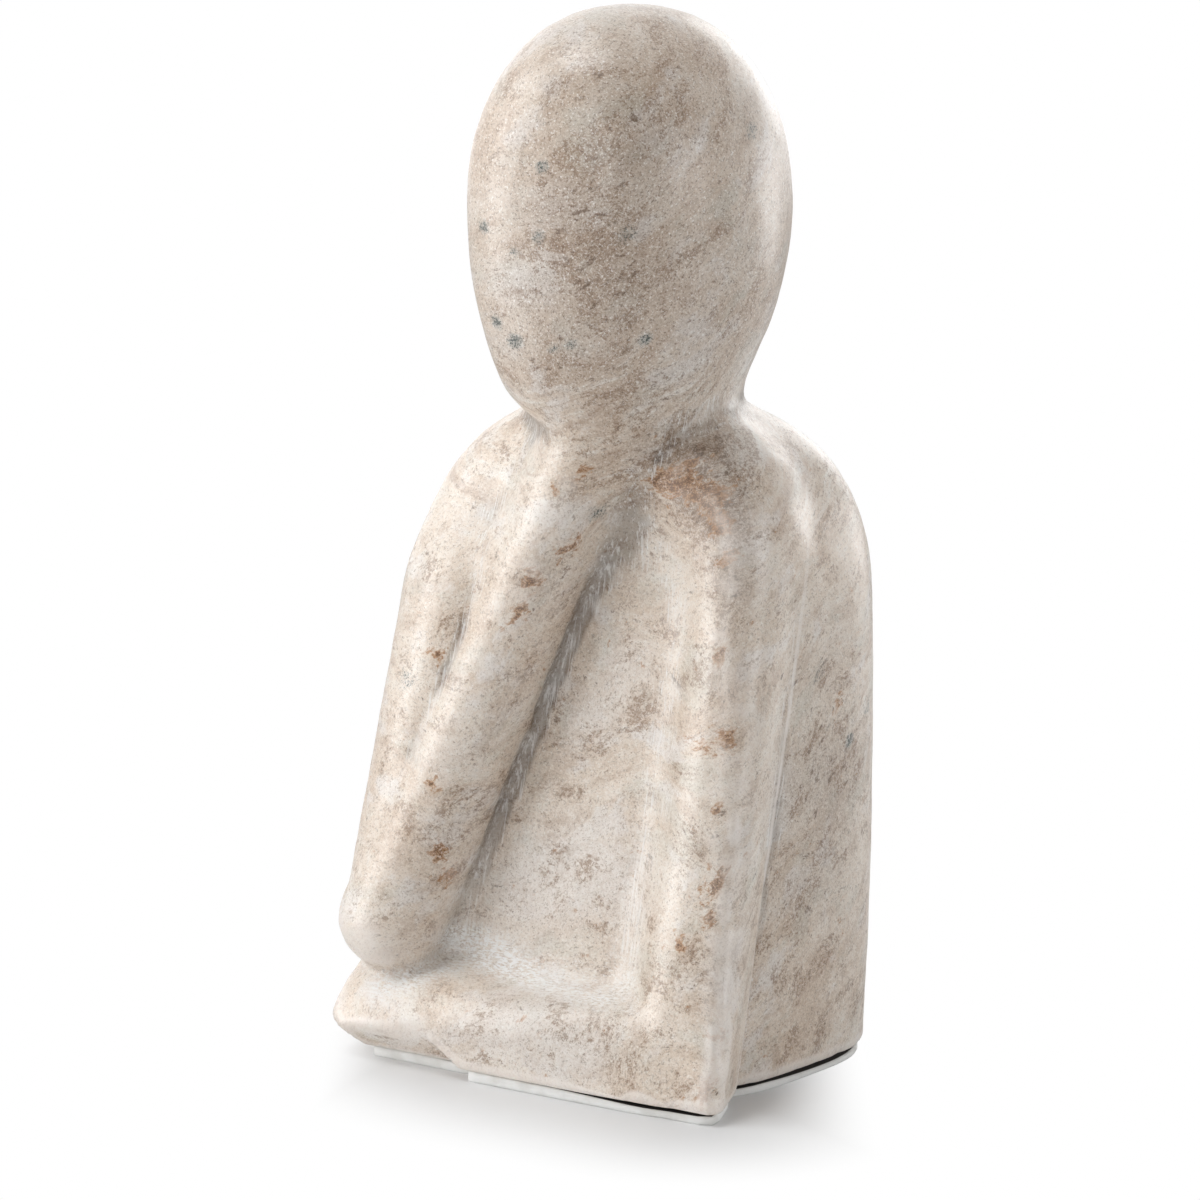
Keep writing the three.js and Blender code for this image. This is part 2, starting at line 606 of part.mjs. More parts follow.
const figure = new THREE.Group();
for (const [name, geometry, material] of pieces) {
  const mesh = new THREE.Mesh(geometry, material);
  mesh.name = name;
  figure.add(mesh);
}

// The origin is under the middle of the whole figure
const middle = new THREE.Box3().setFromObject(figure).getCenter(new THREE.Vector3());
for (const mesh of figure.children) mesh.geometry.translate(-middle.x, -middle.y, 0);

export default figure;
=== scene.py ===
"""Looks for the carved marble figure: its worked surface, the foam pad under it, lights and camera."""

import math

import bmesh
import bpy
import numpy as np
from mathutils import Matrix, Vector, noise


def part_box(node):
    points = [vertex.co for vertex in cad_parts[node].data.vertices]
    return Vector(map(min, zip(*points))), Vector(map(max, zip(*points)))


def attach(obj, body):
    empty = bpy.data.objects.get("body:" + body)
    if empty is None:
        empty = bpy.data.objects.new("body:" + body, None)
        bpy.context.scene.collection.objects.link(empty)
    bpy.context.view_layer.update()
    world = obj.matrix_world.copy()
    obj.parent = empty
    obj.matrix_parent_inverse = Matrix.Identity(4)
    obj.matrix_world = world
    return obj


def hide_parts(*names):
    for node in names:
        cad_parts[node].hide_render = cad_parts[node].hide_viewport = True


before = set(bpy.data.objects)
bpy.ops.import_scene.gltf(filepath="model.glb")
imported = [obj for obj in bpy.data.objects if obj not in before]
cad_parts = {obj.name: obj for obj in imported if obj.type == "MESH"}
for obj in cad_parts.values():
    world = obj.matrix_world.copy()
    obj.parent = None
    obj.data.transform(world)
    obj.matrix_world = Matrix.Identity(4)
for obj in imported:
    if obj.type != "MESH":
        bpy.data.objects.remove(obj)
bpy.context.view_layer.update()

MM = 0.001
WELD = 0.002 * MM  # corners nearer than this are one corner

# The camera, and its directions: back to it from the figure, to its right, and up
CAMERA_TARGET = Vector((25.36, -42.81, 118.0)) * MM
CAMERA_DISTANCE = 1100 * MM
CAMERA_AZIMUTH = math.radians(37)
CAMERA_ELEVATION = math.radians(9.5)
LENS = 145.2  # millimetres, like the sensor
SENSOR_WIDTH = 36
BACK = Vector(
    (
        math.sin(CAMERA_AZIMUTH) * math.cos(CAMERA_ELEVATION),
        -math.cos(CAMERA_AZIMUTH) * math.cos(CAMERA_ELEVATION),
        math.sin(CAMERA_ELEVATION),
    )
)
RIGHT = Vector((math.cos(CAMERA_AZIMUTH), math.sin(CAMERA_AZIMUTH), 0))
UP = BACK.cross(RIGHT)

# Square lamps one metre from the middle of the figure: name, degrees round it from the camera to the right,
# degrees up, and watts
LAMPS = (
    ("key", -56, 66, 3.4),
    ("left", -90, 30, 1.9),
    ("left_low", -90, 5, 3.0),
    ("right_low", 58, 8, 2.1),
    ("right_rim", 122, 4, 1.9),
    ("front", -34, 12, 1.9),
    ("behind", 150, 30, 1.2),
)
LAMP_WIDTH = 0.45
LAMP_AIM = Vector((0, 0, 0.12))
ROOM_LIGHT = 0.19

# The stone's skin
VOXEL = 1.06 * MM  # fineness of the skin
FLAT_ANGLE = math.radians(30)  # two triangles that meet at less than this may become one four-sided face
SQUARE_ANGLE = math.radians(60)  # and this is how far from square its corners may be
CREASE_ANGLE = math.radians(34)  # an edge that turns by more than this stays a crease
CREASE_HOLD = 0.95  # how sharp it stays, out of 1
SKIN_PASSES = 5  # smoothing that takes the voxels' steps away: forth, then a little further back
SKIN_SHARES = (0.5, -0.52)
UNDERSIDE = 3 * MM  # the waves and the crispness start over this level
UNDERSIDE_FADE = 8 * MM  # and are full this much higher up
WAVES = ((14 * MM, 1.0), (5 * MM, 0.4))  # unevenness left by the hand: length and share of each wave
WAVE_HEIGHT = 0.14 * MM
HOLLOW_PASSES = 14  # smoothing against which creases and edges are told
CRISPNESS = 0.9  # how far creases are cut and edges drawn out, as a share of their own depth
CRISP_MIDDLE = 0.038  # millimetres by which a plain stretch smooths inwards
CRISP_LIMIT = 0.4  # millimetres

# The beds of the stone rise to the right and to the back, and patterns are drawn out along them
BED_NORMAL = Vector((-0.22, -0.85, 1.0)).normalized()
BED_ALONG = BED_NORMAL.cross(Vector((0, 0, 1))).normalized()
BED_ACROSS = BED_NORMAL.cross(BED_ALONG)
BED_DRIFT = 16  # millimetres by which a bed may wander
CLOUD_SHAPE = (0.55, 0.55, 1.15)  # the smaller the number, the longer the pattern in that direction
SPECK_SHAPE = (0.7, 0.7, 1.15)
STREAK_SHAPE = (0.16, 0.16, 1.9)
FOREARM_ALONG = Vector((0.366, 0.132, 0.921))  # the way that the rasp ran in the groove

# Levels in millimetres over the ground between which the finish changes, from the first to the second
HEAD_STARTS = (150, 172)
GROOVE_STARTS = (26, 38)  # the rasp ran across the shelf below this, and up the groove above it
# the painted shade in the creases grows between these levels
CREASE_SHADE_STARTS = (30, 62)
RASP_LINES_END = (122, 138)
NECK_LEVEL = 153
NECK_STREAKS = (8, 30)  # distances up and down from the neck over which its streaks fade

# The arris behind the lowered arm, along which a highlight is painted, in millimetres: how deep it lies at
# the ground, how far it leans back for each one that it rises, and the levels between which it ends
ARRIS_DEPTH = -25.3
ARRIS_LEAN = 0.2283
ARRIS_ENDS = (108, 138)

# Marks on the stone: where they lie and how far they spread in millimetres, and how strong they are.
# Some of the brown ones are painted shade, and some of the milky ones painted light
RUST = (
    (29, -16, 143, 5.5, 1.2), (38, -17, 140, 5.0, 1.1), (41, -18, 133, 4.0, 1.0), (9, -27, 144, 3.5, 0.8),
    (4, -26, 126, 4.0, 0.8), (-4, -30, 118, 4.0, 0.8), (-7, -31, 110, 3.5, 0.9), (-26, -38, 52, 3.5, 0.9),
    (-25, -37, 45, 4.0, 0.9), (-26, -39, 68, 4.0, 0.5), (43, -26, 85, 4.5, 0.8), (50, -25, 86, 3.5, 0.6),
    (35, -18, 150, 4.5, 0.8), (23, -18, 141, 4.0, 0.9), (44, -20, 126, 4.0, 0.7), (48, -28, 70, 3.5, 0.6),
    (52, -31, 56, 3.2, 1.0), (49, -32, 52, 3.2, 1.0), (49, -33, 46, 3.0, 0.8), (42, -36, 40, 4.0, 0.5),
    (56, -44, 8, 5.0, 0.5), (57, -39, 19, 4.0, 0.5), (-31, -33, 97, 5.0, 0.5), (1, -28, 139, 4.0, 0.5),
    (46, -25, 104, 6.0, 0.45), (51, 3, 58, 6.0, 0.4), (52, 14, 88, 5.0, 0.5),
)
# partly brown clouding in the stone, partly painted shade: the middle of the face and low on the front of the
# lowered arm
BROWN_AND_SHADE = (
    (14, -26, 237, 10, 0.4), (26, -5, 240, 9, 0.4), (33, 4, 226, 8, 0.5), (17, -32, 216, 13, 0.8),
    (14, -34, 201, 13, 0.9), (18, -32, 187, 13, 0.8), (8, -32, 172, 9, 0.7), (-4, -35, 186, 6, 0.4),
    (34, 5, 196, 9, 0.5), (24, -24, 160, 8, 0.7), (34, -13, 142, 10, 1.1), (45, -24, 118, 9, 0.8),
    (45, -26, 100, 8, 0.6), (51, 6, 50, 14, 0.7), (52, 20, 70, 12, 0.6), (44, -33, 62, 8, 0.5),
    (-26, -38, 54, 8, 0.3), (-2, -30, 120, 8, 0.6), (24, -20, 148, 8, 1.0), (44, -20, 134, 9, 1.0),
    (46, -22, 124, 7, 0.7), (52, 7, 74, 15, 0.9), (51, 10, 98, 12, 0.5), (50, -36, 34, 10, 0.5),
    (31, -14, 147, 9, 1.0), (38, -16, 141, 8, 1.0),
)
DARK = (
    (3, -35, 215, 2.2, 0.8), (-15, -34, 200, 2.6, 0.7), (2, -35, 199, 2.6, 0.7), (-5, -35, 195, 2.2, 0.5),
    (-12, -33, 178, 2.8, 0.8), (-6, -34, 174, 3.0, 0.8), (10, -33, 175, 2.6, 0.6), (5, -34, 173, 2.2, 0.5),
    (25, -25, 176, 2.2, 0.8), (24, -31, 200, 4.2, 0.45), (52, 19, 79, 2.2, 1.0), (52, 6, 97, 4.5, 0.4),
    (51, 28, 85, 3.5, 0.4), (9, -22, 134, 3.5, 0.6), (34, 3, 222, 4.0, 0.5), (33, 6, 211, 3.5, 0.4),
    (-39, -34, 91, 5.0, 0.4), (-33, -30, 102, 4.0, 0.4),
)
# milky clouds in the stone; those low on the chest are partly painted light on a spot in shade
MILKY_AND_LIGHT = (
    (2, -36, 188, 9, 0.9), (6, -36, 206, 7, 0.8), (-8, -35, 187, 7, 0.6), (28, -23, 221, 7, 0.6),
    (-9, -33, 172, 5, 0.7), (16, -20, 100, 7, 0.5), (6, -22, 84, 7, 0.7), (51, -8, 66, 7, 0.8),
    (50, -30, 92, 5, 0.6), (51, -8, 74, 6, 0.7), (16, -26, 48, 15, 0.8), (-8, -29, 42, 14, 1.0),
    (4, -28, 50, 12, 0.8), (-4, -47, 13, 12, 1.0), (22, -46, 12, 11, 1.0), (8, -40, 18, 10, 0.7),
    (14, -20, 92, 12, 0.5), (-24, -34, 78, 7, 0.5),
)
CHALK = (
    (-23, -30, 29, 6.0, 1.2), (-16, -30, 27, 6.0, 1.2), (-10, -31, 25, 5.5, 1.1), (-3, -33, 24, 5.0, 1.0),
    (4, -34, 23, 5.0, 1.0), (12, -35, 23, 5.0, 1.0), (20, -36, 23, 5.0, 1.1), (25, -34, 27, 5.0, 1.0),
    (24, -31, 34, 5.0, 0.8), (25, -28, 42, 4.5, 0.7), (27, -26, 55, 4.0, 0.6), (31, -25, 68, 4.0, 0.6),
    (31, -23, 83, 4.0, 0.6), (31, -20, 94, 4.0, 0.5), (29, -17, 111, 4.0, 0.4), (-30, -31, 30, 5.0, 1.0),
    (-26, -31, 40, 4.0, 1.0), (-22, -30, 49, 3.5, 1.0), (-17, -27, 64, 3.5, 1.0), (-12, -23, 78, 3.5, 0.9),
    (-7, -20, 90, 3.2, 0.9), (-2, -18, 102, 3.2, 0.8), (3, -17, 111, 3.2, 0.8), (7, -16, 120, 3.2, 0.8),
    (11, -19, 132, 3.2, 0.7), (-40, -42, 18, 5.0, 1.0), (-33, -40, 20, 5.0, 1.0), (-27, -36, 23, 5.0, 1.1),
    (-33, -38, 73, 3.0, 0.4), (-24, -35, 92, 3.0, 0.4), (-14, -33, 111, 3.0, 0.4),
)
MARKS = (("rust", RUST), ("brown", BROWN_AND_SHADE), ("dark", DARK), ("milky", MILKY_AND_LIGHT), ("chalk", CHALK))
MARK_FLATNESS = 1.6  # extra weight of the distance across the beds, which flattens a mark along them
MARK_LIMIT = 1.2

# Rings of the pad from the middle of its underside to the middle of its top, in millimetres from the rim:
# inset, level as a share of the thickness, whether it follows the rim, whether its top is dark
PAD_RINGS = (
    (7.0, 0.0, 0, 0),
    (0.25, 0.0, 0, 0),
    (0.0, 0.2, 0, 0),
    (0.0, 0.85, 1, 0),
    (0.3, 1.0, 1, 0),
    (0.9, 1.0, 1, 1),
    (7.0, 1.0, 0, 1),
)
RIM_RISE = 0.5  # where the rim clings, it reaches this far up past the pad's top
RIM_DROOP = 1.4  # where it sags, it hangs this much lower for each millimetre of sagging

# Where the rim sags most, in millimetres: how much, the place, and the square of how far that spreads
FRONT_SAG = 0.6
FRONT_SAG_X = 42
FRONT_SAG_SPREAD = 500
REAR_SAG = 0.9
REAR_SAG_X = 46
REAR_SAG_Y = 12
REAR_SAG_SPREAD = 900

# The floor's shadow, in millimetres: half the width and depth of its full part, and how far it runs out
# behind the figure and in front of it
SHADOW_CORE = (53, 44, 0)
SHADOW_BEHIND = 14
SHADOW_IN_FRONT = 52
SHADOW_LEFT_END = (-54, -72)  # measured to the camera's right, where it starts to fade and where it is gone
SHADOW_RIGHT_END = (30, 58)

WHITE = (1, 1, 1, 1)


def linear(red, green, blue):
    """A colour read on the 0 to 255 display scale, as scene-linear values."""
    values = [c / 255 for c in (red, green, blue)]
    return [c / 12.92 if c <= 0.04045 else ((c + 0.055) / 1.055) ** 2.4 for c in values] + [1.0]


# Colours of the marble
SAND = linear(215, 198, 181)
CREAM = linear(229, 217, 204)
CLAY = linear(192, 170, 151)
PALE_CLOUD = linear(228, 221, 211)
GREY_VEIL = linear(203, 200, 189)
# milky white, partly painted light
MILK_AND_LIGHT = linear(231, 226, 222)
HEAD_SHADE = linear(241, 239, 238)
BROWN_STREAK = linear(176, 150, 130)
PALE_STREAK = linear(236, 231, 224)
TAN = linear(180, 152, 128)
# brown stain, partly painted shade
STAIN_AND_SHADE = linear(160, 144, 130)
CRUMB = linear(140, 113, 90)
PEPPER = linear(126, 104, 87)
SALT = linear(243, 240, 236)
TUFT = linear(116, 94, 76)
RUST_YELLOW = linear(176, 124, 70)
RUST_BROWN = linear(108, 74, 42)
BLUE_GREY = linear(168, 171, 168)
GREEN_BLACK = linear(62, 72, 68)
DARK_CRYSTAL = linear(128, 122, 116)
LIGHT_CRYSTAL = linear(222, 222, 221)
# painted shade, multiplied into the creases
CREASE_SHADE = linear(180, 175, 171)
RASPED_WHITE = linear(246, 245, 243)
# painted highlight on the edges
EDGE_HIGHLIGHT = linear(244, 236, 229)


# Surfaces
class Net:
    """Short names for building a node tree. A value is a socket, a number or a tuple."""

    def __init__(self, tree):
        self.tree = tree

    def node(self, kind, **settings):
        made = self.tree.nodes.new(kind)
        for name, value in settings.items():
            setattr(made, name, value)
        return made

    def feed(self, socket, value):
        if isinstance(value, bpy.types.NodeSocket):
            self.tree.links.new(value, socket)
        else:
            socket.default_value = value

    def math(self, operation, a, b=0.0, c=0.0):
        made = self.node("ShaderNodeMath", operation=operation)
        for socket, value in zip(made.inputs, (a, b, c)):
            self.feed(socket, value)
        return made.outputs[0]

    def times(self, *values):
        product = values[0]
        for value in values[1:]:
            product = self.math("MULTIPLY", product, value)
        return product

    def vector(self, operation, a, b=(0, 0, 0)):
        made = self.node("ShaderNodeVectorMath", operation=operation)
        self.feed(made.inputs[0], a)
        self.feed(made.inputs[1], b)
        return made.outputs["Value" if operation in ("DOT_PRODUCT", "LENGTH") else "Vector"]

    def axes(self, place, *directions):
        """The place as measured along three directions."""
        made = self.node("ShaderNodeCombineXYZ")
        for socket, direction in zip(made.inputs, directions):
            self.feed(socket, self.vector("DOT_PRODUCT", place, tuple(direction)))
        return made.outputs[0]

    def parts(self, place):
        """The three measures of a place, one by one."""
        made = self.node("ShaderNodeSeparateXYZ")
        self.feed(made.inputs[0], place)
        return made.outputs[:]

    def noise(self, place, scale, detail=3.0, roughness=0.55, output="Fac"):
        made = self.node("ShaderNodeTexNoise")
        self.feed(made.inputs["Vector"], place)
        self.feed(made.inputs["Scale"], scale)
        self.feed(made.inputs["Detail"], detail)
        self.feed(made.inputs["Roughness"], roughness)
        return made.outputs[output]

    def step(self, value, low, high, start=0.0, end=1.0):
        """Goes smoothly from start to end while the value goes from low to high."""
        made = self.node("ShaderNodeMapRange", interpolation_type="SMOOTHSTEP")
        for socket, v in zip(made.inputs, (value, low, high, start, end)):
            self.feed(socket, v)
        return made.outputs[0]

    def mix(self, amount, a, b, blend_type="MIX"):
        """A mix of two colours, which this node takes in sockets 6 and 7 and gives out in socket 2."""
        made = self.node("ShaderNodeMix", data_type="RGBA", blend_type=blend_type)
        self.feed(made.inputs[0], amount)
        self.feed(made.inputs[6], a)
        self.feed(made.inputs[7], b)
        return made.outputs[2]

    def attribute(self, name):
        return self.node("ShaderNodeAttribute", attribute_name=name).outputs["Fac"]

    def millimetres(self):
        place = self.node("ShaderNodeTexCoord").outputs["Object"]
        return self.vector("MULTIPLY", place, (1000, 1000, 1000))

    def bump(self, height):
        """A relief of a tenth of a millimetre at most, as a normal."""
        made = self.node("ShaderNodeBump")
        self.feed(made.inputs["Strength"], 0.3)
        self.feed(made.inputs["Distance"], 0.1 * MM)
        self.feed(made.inputs["Height"], height)
        return made.outputs[0]


def new_material(name):
    """A material with its net, its shader and its output."""
    made = bpy.data.materials.new(name)
    made.use_nodes = True
    made.node_tree.nodes.clear()
    net = Net(made.node_tree)
    shader = net.node("ShaderNodeBsdfPrincipled")
    out = net.node("ShaderNodeOutputMaterial")
    net.feed(out.inputs["Surface"], shader.outputs[0])
    return made, net, shader, out


class Bedding:
    """What the patterns in the marble share: places measured along the beds, and the noise laid there."""

    def __init__(self, net, place, height):
        self.net = net
        self.height = height
        drift = net.vector("SUBTRACT", net.noise(place, 0.03, 2.0, 0.5, "Color"), (0.5, 0.5, 0.5))
        moved = net.vector("ADD", place, net.vector("MULTIPLY", drift, (BED_DRIFT, BED_DRIFT, BED_DRIFT)))
        self.beds = net.axes(moved, BED_ALONG, BED_ACROSS, BED_NORMAL)
        self.long_beds = self.drawn_out(CLOUD_SHAPE)
        self.speck_beds = self.drawn_out(SPECK_SHAPE)
        self.on_head = net.step(height, *HEAD_STARTS)
        self.cloud = self.field((0, 0, 0), 0.05, 5.0, 0.62)
        self.fine = net.noise(self.speck_beds, 1.0, 4.0, 0.7)
        self.finer = net.noise(net.vector("ADD", place, (7, 3, 5)), 2.4, 3.0, 0.7)
        self.specks = net.math("MULTIPLY_ADD", self.finer, 0.5, net.times(self.fine, 0.5))

    def drawn_out(self, shape):
        return self.net.vector("MULTIPLY", self.beds, shape)

    def field(self, offset, scale, detail=4.0, roughness=0.6):
        return self.net.noise(self.net.vector("ADD", self.long_beds, offset), scale, detail, roughness)


def clouded(net, bedding):
    """The ground colour with its clouds and milky patches, some of them painted light low on the chest, a
    little darker on the head.
    """
    mottle = bedding.field((29, 71, 3), 0.17, 5.0, 0.7)
    veil = bedding.field((83, 211, 47), 0.09, 5.0, 0.62)
    patches = net.step(bedding.field((311, 57, 19), 0.1), 0.54, 0.66)
    milk_and_light = net.math("MINIMUM", net.math("ADD", patches, net.attribute("milky_marks")), 1)
    colour = net.mix(net.step(bedding.cloud, 0.36, 0.62), SAND, CREAM)
    colour = net.mix(net.step(mottle, 0.5, 0.62, 0, 0.5), colour, CLAY)
    colour = net.mix(net.step(mottle, 0.48, 0.36, 0, 0.45), colour, PALE_CLOUD)
    colour = net.mix(net.step(veil, 0.52, 0.68, 0, 0.5), colour, GREY_VEIL)
    colour = net.mix(net.times(milk_and_light, 0.62), colour, MILK_AND_LIGHT)
    return net.mix(bedding.on_head, colour, net.mix(1.0, colour, HEAD_SHADE, "MULTIPLY"))


def streaked(net, bedding, colour):
    """Streaks along the beds, strongest round the neck."""
    from_neck = net.math("ABSOLUTE", net.math("SUBTRACT", bedding.height, NECK_LEVEL))
    near_neck = net.step(from_neck, *NECK_STREAKS, 1, 0.22)
    streaks = net.noise(bedding.drawn_out(STREAK_SHAPE), 0.22, 5.0, 0.62)
    colour = net.mix(net.times(net.step(streaks, 0.53, 0.66), near_neck, 0.62), colour, BROWN_STREAK)
    return net.mix(net.times(net.step(streaks, 0.47, 0.36), near_neck, 0.7), colour, PALE_STREAK)


def speckled(net, bedding, place, colour):
    """Fine brown specks in small ragged clusters, a brown stain that is partly painted shade, and salt and
    pepper all over.
    """
    brown = net.attribute("brown_marks")
    ragged = bedding.field((17, 5, 91), 0.16, 6.0, 0.72)
    ragged = net.math("MULTIPLY_ADD", bedding.cloud, -0.25, ragged)
    spread = net.step(net.math("MULTIPLY_ADD", brown, 0.09, ragged), 0.37, 0.52)
    tint = net.times(spread, net.step(bedding.fine, 0.35, 0.62))
    tint = net.times(tint, net.step(bedding.on_head, 0, 1, 0.5, 0.25))
    colour = net.mix(tint, colour, TAN)
    # the stain is partly painted shade, where the brown marks darken the middle of the face and the foot of
    # the lowered arm
    stain_and_shade = net.times(brown, net.step(bedding.finer, 0.3, 0.7, 0.35, 1), 0.72)
    colour = net.mix(stain_and_shade, colour, STAIN_AND_SHADE)
    crumbs = net.step(net.math("MULTIPLY_ADD", spread, 0.1, bedding.specks), 0.545, 0.63)
    colour = net.mix(net.times(crumbs, 0.6), colour, CRUMB)
    pepper = net.noise(net.vector("ADD", bedding.speck_beds, (91, 3, 7)), 1.9, 3.0, 0.65)
    salt = net.noise(net.vector("ADD", place, (5, 77, 19)), 1.8, 3.0, 0.65)
    strong = net.step(bedding.on_head, 0, 1, 0.42, 0.7)
    colour = net.mix(net.times(net.step(pepper, 0.56, 0.66), strong), colour, PEPPER)
    return net.mix(net.times(net.step(salt, 0.56, 0.66), strong), colour, SALT)


def rusted(net, bedding, colour):
    """Dark brown tufts, and rust round darker crumbs."""
    tufts = bedding.field((19, 31, 7), 0.5, 4.0, 0.65)
    tufts = net.math("MULTIPLY_ADD", net.attribute("brown_marks"), 0.11, tufts)
    tufts = net.times(net.step(tufts, 0.64, 0.72), net.step(bedding.fine, 0.36, 0.56))
    colour = net.mix(net.times(tufts, 0.8), colour, TUFT)
    ragged = bedding.field((41, 77, 13), 0.42, 5.0, 0.68)
    ragged = net.math("MULTIPLY_ADD", net.attribute("rust_marks"), 0.33, ragged)
    rust = net.times(net.step(ragged, 0.64, 0.73), net.step(bedding.on_head, 0, 1, 1, 0.4))
    colour = net.mix(net.times(rust, net.step(bedding.fine, 0.32, 0.5), 0.74), colour, RUST_YELLOW)
    crumbs = net.times(net.step(ragged, 0.7, 0.79), net.step(bedding.specks, 0.45, 0.55))
    return net.mix(net.times(crumbs, rust, 0.9), colour, RUST_BROWN)


def blotched(net, bedding, colour):
    """Blue-grey blotches with green-black grains in them."""
    dark = net.attribute("dark_marks")
    blotches = net.step(net.math("MULTIPLY_ADD", bedding.fine, 0.5, dark), 0.4, 0.9)
    colour = net.mix(net.times(blotches, 0.5), colour, BLUE_GREY)
    grains = net.math("MULTIPLY_ADD", bedding.finer, 0.6, net.times(bedding.fine, 0.4))
    grains = net.step(net.math("MULTIPLY_ADD", dark, 0.22, grains), 0.59, 0.69)
    return net.mix(net.times(grains, net.step(dark, 0.1, 0.4), 0.9), colour, GREEN_BLACK)


def rasp_marks(net, place, height):
    """Noise drawn out the way that the rasp ran: across the shelf at the foot, and up the groove over it."""
    along_groove = net.axes(place, FOREARM_ALONG, BED_ALONG, FOREARM_ALONG.cross(BED_ALONG))
    groove = net.noise(net.vector("MULTIPLY", along_groove, (0.03, 1, 1)), 1.5, 4.0, 0.75)
    shelf = net.noise(net.vector("MULTIPLY", place, (0.35, 1, 1)), 1.9, 4.0, 0.75)
    return net.mix(net.step(height, *GROOVE_STARTS), shelf, groove)


def arris_highlight(net, across, deep, height):
    """A painted highlight: a thin pale line along the rear edge of the lowered arm."""
    edge = net.math("MULTIPLY_ADD", height, ARRIS_LEAN, ARRIS_DEPTH)
    off = net.math("ABSOLUTE", net.math("SUBTRACT", deep, edge))
    line = net.step(off, 0.35, 0.9, 1, 0)
    return net.times(line, net.step(across, 36, 42), net.step(height, *ARRIS_ENDS, 1, 0))


def marble():
    made, net, shader, _ = new_material("marble")
    place = net.millimetres()
    across, deep, height = net.parts(place)
    bedding = Bedding(net, place, height)
    colour = clouded(net, bedding)
    colour = streaked(net, bedding, colour)
    colour = speckled(net, bedding, place, colour)
    colour = rusted(net, bedding, colour)
    colour = blotched(net, bedding, colour)
    # crystal grain
    grain = net.noise(place, 2.2, 3.0, 0.75)
    coarse = net.noise(place, 0.75, 4.0, 0.7)
    crystals = net.step(net.math("MULTIPLY_ADD", grain, 0.6, net.times(coarse, 0.4)), 0.36, 0.64)
    colour = net.mix(0.75, colour, net.mix(crystals, DARK_CRYSTAL, LIGHT_CRYSTAL), "SOFT_LIGHT")
    # chalky rasp marks: in the creases, in a faint halo beside them, and where CHALK places more
    crevice = net.attribute("crevice")
    marks = rasp_marks(net, place, height)
    scratches = net.step(marks, 0.5, 0.62)
    line = net.times(net.step(crevice, 0.14, 0.4), net.math("MULTIPLY_ADD", scratches, 0.36, 0.12))
    line = net.times(line, net.step(height, *RASP_LINES_END, 1, 0.15))
    halo = net.times(net.step(crevice, 0.025, 0.08), net.step(marks, 0.52, 0.62), 0.6)
    rasped = net.times(net.attribute("chalk_marks"), net.step(marks, 0.42, 0.58, 0.2, 1), 0.88)
    chalk = net.math("MAXIMUM", net.math("MAXIMUM", line, halo), rasped)
    # painted shade in the groove and the creases, growing higher up, the chalk over it, and painted
    # highlights along the edges
    crease_shade = net.times(net.step(crevice, 0.02, 0.28), net.step(height, *CREASE_SHADE_STARTS, 0.15, 1.0))
    colour = net.mix(crease_shade, colour, net.mix(1.0, colour, CREASE_SHADE, "MULTIPLY"))
    colour = net.mix(chalk, colour, RASPED_WHITE)
    # painted highlight on convex edges and along the arris
    edge_highlight = net.math("MAXIMUM", net.step(crevice, -0.075, -0.24), arris_highlight(net, across, deep, height))
    net.feed(shader.inputs["Base Color"], net.mix(net.times(edge_highlight, 0.6), colour, EDGE_HIGHLIGHT))
    # a soft polish, dull where the stone is rasped
    polish = net.math("MULTIPLY_ADD", grain, 0.18, 0.3)
    net.feed(shader.inputs["Roughness"], net.math("ADD", polish, net.times(chalk, 0.3)))
    net.feed(shader.inputs["Coat Weight"], net.math("MULTIPLY_ADD", chalk, -0.4, 0.4))
    net.feed(shader.inputs["Coat Roughness"], 0.25)
    net.feed(shader.inputs["Specular IOR Level"], 0.5)
    net.feed(shader.inputs["IOR"], 1.5)
    net.feed(shader.inputs["Subsurface Weight"], 0.1)
    net.feed(shader.inputs["Subsurface Radius"], (1.0, 0.72, 0.5))
    net.feed(shader.inputs["Subsurface Scale"], 2.5 * MM)
    pits = net.noise(place, 1.1, 3.0, 0.6)
    relief = net.math("MULTIPLY_ADD", net.times(scratches, chalk), 1.5, pits)
    net.feed(shader.inputs["Normal"], net.bump(relief))
    return made


def foam():
    made, net, shader, _ = new_material("foam")
    place = net.millimetres()
    dust = net.noise(place, 0.15, 3.0)
    colour = net.mix(net.step(dust, 0.4, 0.7), linear(244, 244, 242), linear(232, 231, 227))
    # the pad's top is dark from just inside its rim
    colour = net.mix(net.step(net.attribute("dark_top"), 0.2, 0.8), colour, linear(46, 43, 40))
    net.feed(shader.inputs["Base Color"], colour)
    net.feed(shader.inputs["Roughness"], 0.9)
    pores = net.node("ShaderNodeTexVoronoi")
    net.feed(pores.inputs["Vector"], place)
    net.feed(pores.inputs["Scale"], 2.2)
    net.feed(shader.inputs["Normal"], net.bump(pores.outputs["Distance"]))
    return made


def adhesive():
    made, net, shader, _ = new_material("adhesive")
    smears = net.noise(net.millimetres(), 0.25, 3.0)
    net.feed(shader.inputs["Base Color"], net.mix(smears, linear(52, 48, 44), linear(78, 73, 66)))
    net.feed(shader.inputs["Roughness"], net.math("MULTIPLY_ADD", smears, 0.2, 0.45))
    return made


# Shapes
def add_object(name, mesh, material):
    made = bpy.data.objects.new(name, mesh)
    bpy.context.scene.collection.objects.link(made)
    mesh.materials.clear()
    mesh.materials.append(material)
    return made


def new_mesh(name, shape):
    """A mesh made from a bmesh, which is then done with."""
    mesh = bpy.data.meshes.new(name)
    shape.to_mesh(mesh)
    shape.free()
    return mesh


